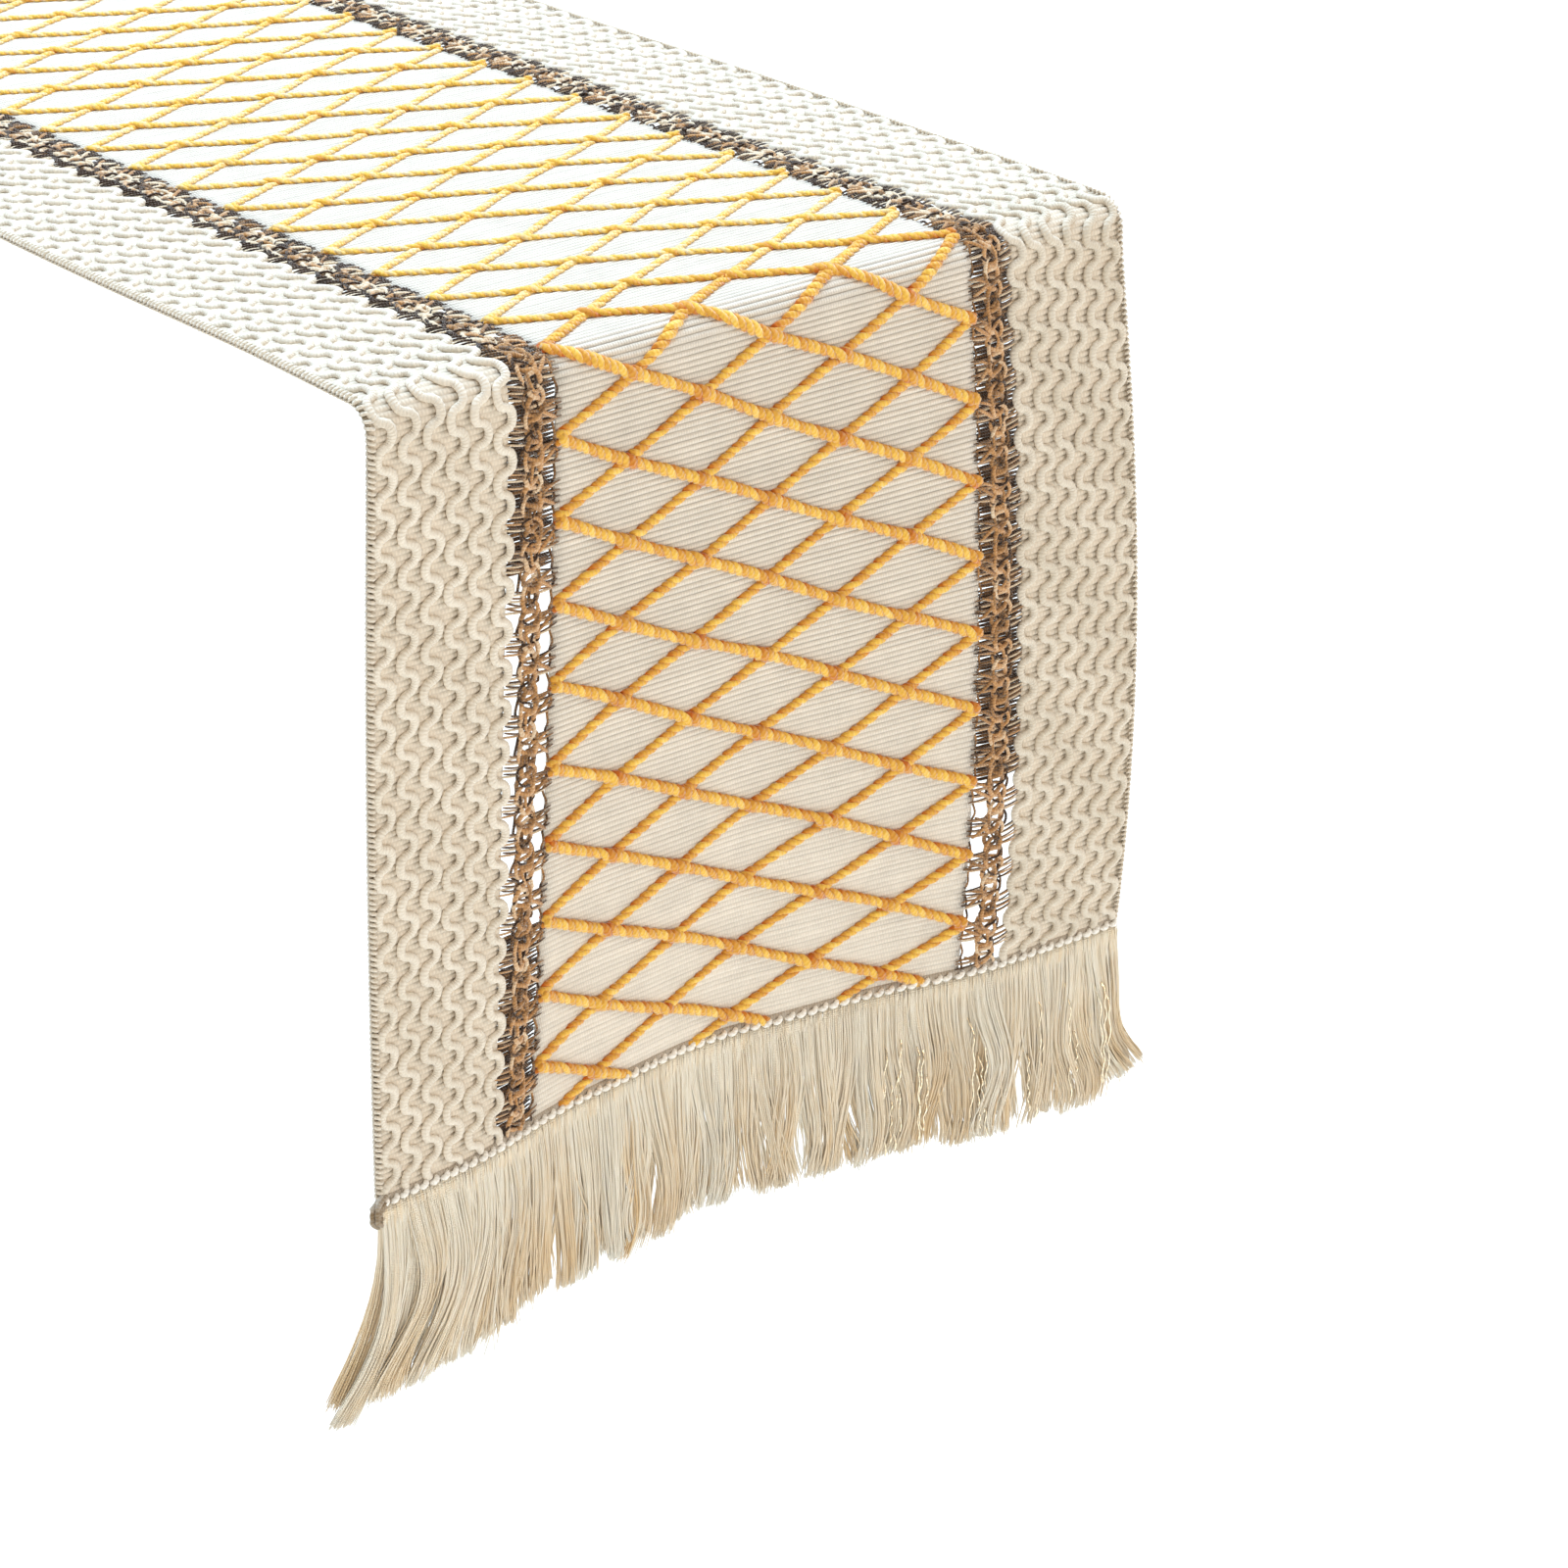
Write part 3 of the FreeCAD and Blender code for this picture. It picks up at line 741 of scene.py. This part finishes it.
def lattice_cords(end, rising):
    """The mustard cords that cross the panel. Falling cords are plumper and lie over the rising ones."""
    start, stop = (edge * (1 + TUCK / HEM_TOP) for edge in span(end))
    width, fall = 2 * PANEL, DIAMONDS * PATTERN
    slope = fall / width
    weaving = Weaving()
    for turn in range(math.floor(start / PATTERN) - DIAMONDS, math.ceil(stop / PATTERN) + DIAMONDS + 1):
        left = turn * PATTERN
        right = left + fall if rising else left - fall
        sign = 1 if rising else -1
        low = max(min(left, right), start)
        high = min(max(left, right), stop)
        if high - low < 2 * MM:
            continue
        ends = sorted(-PANEL + sign * (edge - left) / slope for edge in (low, high))
        across = np.linspace(ends[0], ends[1], max(6, int((ends[1] - ends[0]) * SLANT / ROPE_STEP)))
        phase = (across + PANEL) / (width / (2 * DIAMONDS))
        along = left + sign * slope * (across + PANEL)
        along = along + 0.5 * MM * np.sin(phase * 2.1 + turn) + 0.4 * MM * np.sin(phase * 0.9 + turn * 2.7)
        crossing = np.exp(-((phase - np.round(phase)) / 0.10) ** 2)
        turned = (across + PANEL) * SLANT + 3 * MM * math.sin(turn * 5.3)
        turned = turned + 1.1 * MM * np.sin(phase * 4.3 + turn) + 0.6 * MM * np.sin(phase * 11.3 + turn * 3)
        level = lying(along, CORD_FLAT_RUN_REACH)
        if rising:
            height = 1.35 * MM - 0.2 * MM * crossing
            ply_radius, offset, lay = 1.00 * MM, 1.02 * MM, 9.9 * MM
        else:
            height = 1.60 * MM + 0.45 * MM * crossing
            ply_radius, offset, lay = 1.04 * MM, 1.10 * MM, 9.3 * MM
        plump = (1 - 0.27 * level) * (1 + 0.30 * crossing + 0.07 * np.sin(phase * 7.7 + turn * 1.9))
        line = np.stack([across, np.clip(along, start, stop), height], axis=-1)
        # Painted light and shade: paler on the flat run, and darker where the cords cross, as the shade of
        # the knot.
        shade = 0.60 * level + 0.08 * np.sin(phase * 3.3 + turn * 2.2) - 0.34 * crossing
        rope(weaving, line, turned, ply_radius * plump, offset * plump, lay, shade)
    return weaving


def selvedge(end, side, rng):
    """Small stitches that wrap the band's outer edge."""
    start, stop = span(end)
    pitch = 1.9 * MM
    count = int((stop - start) / pitch)
    turn = np.linspace(-0.5, math.pi + 0.5, 8)
    across = HALF_WIDTH - 1.3 * MM + 1.5 * MM * np.sin(turn)
    height = 0.9 * MM + 1.15 * MM * np.cos(turn)
    paths = np.zeros((count, len(turn), 3))
    paths[..., 0] = side * across
    paths[..., 1] = start + (np.arange(count)[:, None] + 0.5) * pitch
    paths[..., 1] += np.linspace(-0.35, 0.35, len(turn)) * pitch
    paths[..., 2] = height
    paths[..., 1] += rng.normal(0, 0.1 * MM, (count, 1))
    weaving = Weaving()
    weaving.yarns(paths, 0.62 * MM, 5, rng.uniform(0.65, 0.95, count))
    return weaving


# ------------------------------------------------------------------ hem and fringe

def hem_tape(end):
    """A narrow rolled hem, ribbed by the yarns that it binds; its tone paints shade between the yarns and
    along its top, under the stitches.
    """
    sign = OUTWARDS[end]
    across = np.linspace(-HALF_WIDTH, HALF_WIDTH, HEM_COLUMNS)
    depth = np.linspace(0, 1, 8)
    along = sign * (HEM_TOP - 0.5 * MM + depth * (HEM_FOOT - HEM_TOP + 0.5 * MM))
    wide, long = np.meshgrid(across, along)
    crown = np.sin(math.pi * np.clip(depth, 0.02, 0.98))[:, None] ** 0.5
    yarn = np.abs(np.sin(wide / (1.2 * MM) * math.pi))
    upper = 1.0 * MM + (0.8 * MM + 0.35 * MM * yarn) * crown
    lower = 0.5 * MM - 0.5 * MM * crown + 0 * wide
    # Painted shade: darker along the top under the stitches, and between the yarns.
    tone = 0.2 + (0.35 + 0.4 * yarn) * ease(depth * 1.6 - 0.4)[:, None]
    order = np.argsort(along)
    weaving = Weaving()
    weaving.cloth(across, along[order], upper[order], lower[order], tone[order])
    return weaving


def whip_stitches(end, rng):
    """Plump slanting stitches over the hem, like a row of beads."""
    sign = OUTWARDS[end]
    pitch = 4.05 * MM
    count = int(2 * HALF_WIDTH / pitch)
    share = np.linspace(-1, 1, 8)
    start = (np.arange(count) - (count - 1) / 2)[:, None] * pitch + rng.normal(0, 0.15 * MM, (count, 1))
    paths = np.zeros((count, len(share), 3))
    paths[..., 0] = start - sign * 1.45 * MM * share
    paths[..., 1] = sign * (HEM_TOP + 1.2 * MM - 0.95 * MM * share + rng.normal(0, 0.1 * MM, (count, 1)))
    paths[..., 2] = 1.3 * MM + 1.5 * MM * (1 - share ** 2)
    weaving = Weaving()
    weaving.yarns(paths, (0.98 * MM * (1 - 0.45 * share ** 4))[None], 7, rng.uniform(0.9, 1.1, count))
    return weaving


class Fringe:
    """Loose strands that gather into wisps, and wisps that gather into locks."""

    def __init__(self, end, seed):
        self.rng = rng = np.random.default_rng(seed)
        self.sign = OUTWARDS[end]
        self.locks = self.spread(8.5, 15.5)
        self.wisps = self.spread(2.2, 4.6)
        self.parent = np.argmin(np.abs(self.wisps[:, None] - self.locks), axis=1)
        locks, wisps = len(self.locks), len(self.wisps)
        wide = -self.sign * self.wisps / HALF_WIDTH      # from -1, the corner that flares most, to 1
        near = -24 * MM * ease(-(wide + 0.42) / 0.58)
        far = 15 * MM * ease((wide - 0.72) / 0.28)
        flare = np.where(wide < 0, near, far)
        # How far each wisp leans sideways, and how long it is.
        self.lean = -self.sign * flare + rng.normal(0, 1.5 * MM, locks)[self.parent]
        self.lean += rng.normal(0, 0.7 * MM, wisps)
        corner = np.where(wide < 0, np.abs(wide) ** 3, np.abs(wide) ** 7)
        self.long = FRINGE * (0.86 + 0.06 * corner + rng.normal(0, 0.020, locks)[self.parent])
        self.long *= 1 + rng.normal(0, 0.011, wisps)
        # How far it bows outwards, how wide its waves are, how many it has, and where they start.
        self.bow = rng.normal(1.5, 1.2, locks)[self.parent] * MM
        self.wave = rng.uniform(1.2, 4.6, locks)[self.parent] * MM
        self.waves = rng.uniform(0.60, 1.20, locks)[self.parent]
        self.wave_start = rng.uniform(0, math.tau, locks)[self.parent] + rng.normal(0, 0.3, wisps)
        # How much paler it is than the others, with a corner painted darker as painted shade.
        self.hue = rng.uniform(-0.20, 0.18, locks)[self.parent] + rng.normal(0, 0.10, wisps)
        self.hue -= 0.05 * np.clip((-wide - 0.96) / 0.03, 0, 1)

    def spread(self, least, most):
        """Places across the fringe, between those gaps in millimetres."""
        places = -HALF_WIDTH + np.cumsum(self.rng.uniform(least, most, 200)) * MM - most / 2 * MM
        return places[places < HALF_WIDTH - least / 3 * MM]

    def weave(self, count, steps, radius, deepest, shallowest):
        """Strands between two depths: 1 is the side that shows, -1 the back."""
        rng = self.rng
        root = (HALF_WIDTH - FRINGE_ROOM) * (2 * np.sort(rng.random(count)) ** 1.12 - 1) * -self.sign
        wisp = np.argmin(np.abs(root[:, None] + rng.normal(0, 0.8 * MM, (count, 1)) - self.wisps), axis=1)
        depth = rng.uniform(deepest, shallowest, count)[:, None]
        loose = (rng.random(count) < LOOSE)[:, None]
        share = np.linspace(0, 1, steps)[None]
        own = np.clip(rng.normal(0, 1, (count, 4)), -2, 2)[:, :, None]       # each strand's own differences
        long = self.long[wisp][:, None] * (1 + 0.009 * own[:, 2]) - np.abs(depth) * 1.5 * MM
        wisp_place, lock_place = self.wisps[wisp][:, None], self.locks[self.parent[wisp]][:, None]
        late = ease((share - 0.12) / 0.7)                # strands gather below the header, not in it
        across = root[:, None] + (wisp_place - root[:, None]) * 0.32 * late * (1 - 0.8 * loose)
        across = across + (lock_place - wisp_place) * 0.14 * late
        across = across + self.lean[wisp][:, None] * ease((share - 0.12) / 0.98) ** 1.7 * 1.06
        turn = math.tau * self.waves[wisp][:, None] * share + self.wave_start[wisp][:, None]
        across = across + self.wave[wisp][:, None] * (np.sin(turn) - np.sin(turn[:, :1])) * share
        across = across + own[:, 0] * 1.2 * MM * share ** 1.5 * (1 + 1.5 * loose)
        across = across + own[:, 1] * 0.45 * MM * np.sin(math.tau * 1.6 * share + own[:, 2] * 3) * share
        roundness = 1 - np.minimum(np.abs(wisp_place - lock_place) / (7 * MM), 1) ** 2
        height = 1.7 * MM + depth * 1.2 * MM * (1 + 1.2 * share)
        height = height + (self.bow[wisp][:, None] + 2.6 * MM * roundness) * np.sin(math.pi * 0.8 * share)
        height = height + own[:, 3] * 0.6 * MM * share * (1 + 3 * loose)
        long = long * (0.965 + 0.035 * roundness)
        along = self.sign * (HEM_FOOT - ROOTED + share * (long + ROOTED)) + 0 * across
        thin = radius * (1 - 0.2 * share ** 3)
        # Painted shade: strands deeper at the back are darker.
        tone = 0.86 + self.hue[wisp][:, None] * (0.3 + 0.8 * share) + 0.10 * depth + own[:, 1] * 0.09
        tone = tone - (0.34 - 0.5 * self.hue[wisp][:, None]) * ease(share * 1.1)
        weaving = Weaving()
        weaving.yarns(np.stack([across, along, height], axis=-1), thin, 3, tone)
        return weaving


def hem_corner(end, rng):
    """The selvedge's loose end, folded out at one corner of the hem."""
    sign = OUTWARDS[end]
    turn = np.linspace(0, 1, 14)
    weaving = Weaving()
    for n in range(9):
        path = np.zeros((len(turn), 3))
        reach = (1.2 + 0.9 * n % 2.6) * MM
        path[:, 0] = sign * (HALF_WIDTH - 4 * MM + (4 * MM + reach) * np.sin(math.pi * turn * 0.92) ** 0.7)
        path[:, 1] = sign * (HEM_TOP + (0.45 * n - 1.5 + (4.0 + 0.5 * n) * turn) * MM)
        path[:, 1] += 0.4 * MM * np.sin(turn * 9 + n)
        path[:, 2] = (1.8 + 0.9 * math.sin(n * 2.1) + 1.0 * np.sin(math.pi * turn)) * MM
        weaving.yarns(path, 0.85 * MM, 6, rng.uniform(-0.2, 0.3))
    return weaving


def fringe_header(end, rng):
    """The dense row of upright strands just below the hem."""
    sign = OUTWARDS[end]
    count = 700
    reach = HALF_WIDTH - FRINGE_ROOM
    root = np.linspace(-reach, reach, count) + rng.normal(0, 0.06 * MM, count)
    share = np.linspace(0, 1, 6)
    long = rng.uniform(11, 16, count) * MM
    paths = np.zeros((count, len(share), 3))
    paths[..., 0] = root[:, None] + rng.normal(0, 0.35 * MM, (count, 1)) * share ** 2
    paths[..., 1] = sign * (HEM_TOP + 2.0 * MM + share * long[:, None])
    paths[..., 2] = 2.4 * MM + 0.8 * MM * np.sin(math.pi * share ** 0.6)
    paths[..., 2] += rng.uniform(-0.3, 0.3, (count, 1)) * MM
    weaving = Weaving()
    weaving.yarns(paths, 0.29 * MM * (1 - 0.4 * share ** 3)[None], 4, rng.uniform(0.62, 1.0, count))
    return weaving


def lurex_strands(end, rng):
    """Flat metallic strands that glitter as they twist, in one third of the fringe."""
    sign = OUTWARDS[end]
    roots = np.concatenate([rng.uniform(54, 72, 8), rng.uniform(84, 92, 4), rng.uniform(108, 146, 8)]) * MM
    share = np.linspace(0, 1, 70)
    weaving = Weaving()
    for root in roots:
        first, last = rng.uniform(0.10, 0.45), rng.uniform(0.70, 0.86)
        low = first + (last - first) * share
        coil = math.tau * (share * rng.uniform(3, 5) + rng.random())
        bend = math.tau * (low * 0.8 + rng.random())
        path = np.zeros((len(share), 3))
        path[:, 0] = -sign * root + rng.normal(0, 3 * MM) * low ** 1.5
        path[:, 0] += 0.25 * MM * np.cos(coil) + 1.0 * MM * np.sin(bend)
        path[:, 1] = sign * (HEM_FOOT + low * FRINGE)
        path[:, 2] = (3.0 + 4.6 * ease(share * 4)) * MM + 0.5 * MM * np.sin(coil)
        weaving.yarns(path, 0.38 * MM, 4, 0.5, flatten=0.35, twist=rng.uniform(500, 1100))
    return weaving


# ------------------------------------------------------------------ putting it together

cream_panel = cloth_finish("cream_panel", rgb(118, 111, 101), rgb(238, 228, 213), 1.0, RIB / MM)
cream_band = cloth_finish("cream_band", rgb(124, 110, 84), rgb(228, 215, 196), 1.3, BAND_RIB / MM)
cream_cord = yarn_finish("cream_cord", rgb(194, 180, 155), rgb(236, 226, 209), 1.1)
brown_yarn = openwork_finish()
# The mustard's palest shades, on the flat run and on each ply's lit front, turn near-white as painted glare.
mustard_cord = yarn_finish(
    "mustard_cord", rgb(198, 98, 0), rgb(252, 206, 84), 1.4,
    roughness=0.85, sheen=0.6, painted_glare=rgb(255, 241, 208))
hem_cotton = yarn_finish("hem_cotton", rgb(138, 116, 86), rgb(255, 251, 242), 1.0)
fringe_cotton = yarn_finish(
    "fringe_cotton", rgb(234, 191, 118), rgb(255, 248, 230), 0.8, roughness=0.7, sheen=0.5)
gold_lurex = lurex_finish()


def dress(item, slot, *replaced):
    """Hides the nodes that the item replaces and returns the item; slot is not used."""
    if replaced:
        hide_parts(*replaced)
    return item


def strip_nodes(end, name):
    """The nodes of one strip: on the flat run, over the fold and down the drop."""
    return ["%s_%s" % (part, name) for part in ("top", end + "_fold", end + "_drop")]


def pivot_of(joint):
    """The place that a joint turns about."""
    return next(Vector(j["pos_m"]) for j in frame["joints"] if j["name"] == joint)


def bend_at_fold(item, end):
    """Finds the fold's hinge and bakes the item's transform into its mesh."""
    outwards = Vector((0, OUTWARDS[end], 0))
    slope = 9 * MM * (outwards - Vector((0, 0, 1)))
    pivot = pivot_of(end + "_fold")
    pivot - slope
    pivot + slope
    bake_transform(item)


def bend_at_hem(item, end):
    """Finds the fringe's swing pivot and bakes the item's transform into its mesh."""
    pivot = pivot_of(end + "_fringe_swing")
    above, below = Vector((0, 0, 3 * MM)), Vector((0, 0, 22 * MM))
    pivot + above
    pivot - below
    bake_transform(item)


def lay_panel(end, rng):
    """The cream panel in the middle."""
    panel = panel_cloth(end, rng).make(end + "_centre_panel_cloth", cream_panel)
    dress(panel, "panel_cotton", *strip_nodes(end, "centre_panel"))
    return [panel]


def lay_side(end, side, name, rng):
    """A band with its raised cords and stitched edge, and the openwork between it and the panel."""
    band = band_cloth(end, side, rng).make("%s_%s_band_cloth" % (end, name), cream_band)
    dress(band, "band_cotton", *strip_nodes(end, name + "_band"))
    waves = wave_cords(end, side).make("%s_%s_wave_cords" % (end, name), cream_cord)
    dress(waves, "band_cotton")
    edge = selvedge(end, side, rng).make("%s_%s_selvedge" % (end, name), cream_cord)
    dress(edge, "band_cotton")
    lace = openwork(end, side, rng).make("%s_%s_openwork_yarns" % (end, name), brown_yarn)
    dress(lace, "openwork_jute", *strip_nodes(end, name + "_openwork"))
    return [band, waves, edge, lace]


def lay_lattice(end):
    """The mustard cords, sewn down over the panel."""
    falling = lattice_cords(end, False).make(end + "_falling_cords", mustard_cord)
    dress(falling, "mustard_cord", "top_falling_cords", end + "_drop_falling_cords")
    rising = lattice_cords(end, True).make(end + "_rising_cords", mustard_cord)
    dress(rising, "mustard_cord", "top_rising_cords", end + "_drop_rising_cords")
    return [falling, rising]


def sew_hem(end, rng):
    """The hem, its loose corner and its stitches, which hang with the drop."""
    hem = hem_tape(end).make(end + "_hem_tape", hem_cotton)
    dress(hem, "hem_cotton", end + "_hem")
    corner = hem_corner(end, rng).make(end + "_hem_corner", hem_cotton)
    dress(corner, "hem_cotton")
    stitches = whip_stitches(end, rng).make(end + "_whip_stitches", hem_cotton)
    dress(stitches, "hem_cotton", end + "_hem_stitches")
    for item in (hem, corner, stitches):
        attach(item, end + "_drop")


def hang_fringe(end, number, rng):
    """The header, the loose strands in front and behind, and the metallic ones."""
    header = fringe_header(end, rng).make(end + "_header_strands", fringe_cotton)
    dress(header, "fringe_cotton", end + "_fringe_header")
    outer = Fringe(end, OUTER_SEED + number).weave(2450, 14, 0.27 * MM, 0.0, 1.0)
    outer = outer.make(end + "_fringe_outer", fringe_cotton)
    dress(outer, "fringe_cotton", end + "_fringe_strands")
    inner = Fringe(end, INNER_SEED + number).weave(2000, 11, 0.32 * MM, -1.0, 0.1)
    inner = inner.make(end + "_fringe_inner", fringe_cotton)
    dress(inner, "fringe_cotton")
    glitter = lurex_strands(end, rng).make(end + "_lurex", gold_lurex)
    dress(glitter, "lurex", end + "_lurex_strands")
    for item in (header, outer, inner, glitter):
        bend_at_hem(item, end)


set_camera()
set_floor()
set_sky()
set_lights()

for number, end in enumerate(("front", "rear")):
    rng = np.random.default_rng(YARN_SEED + number)
    cloth = lay_panel(end, rng)
    cloth += lay_side(end, -1, "left", rng)
    cloth += lay_side(end, 1, "right", rng)
    cloth += lay_lattice(end)
    for item in cloth:
        bend_at_fold(item, end)
    sew_hem(end, rng)
    hang_fringe(end, number, rng)
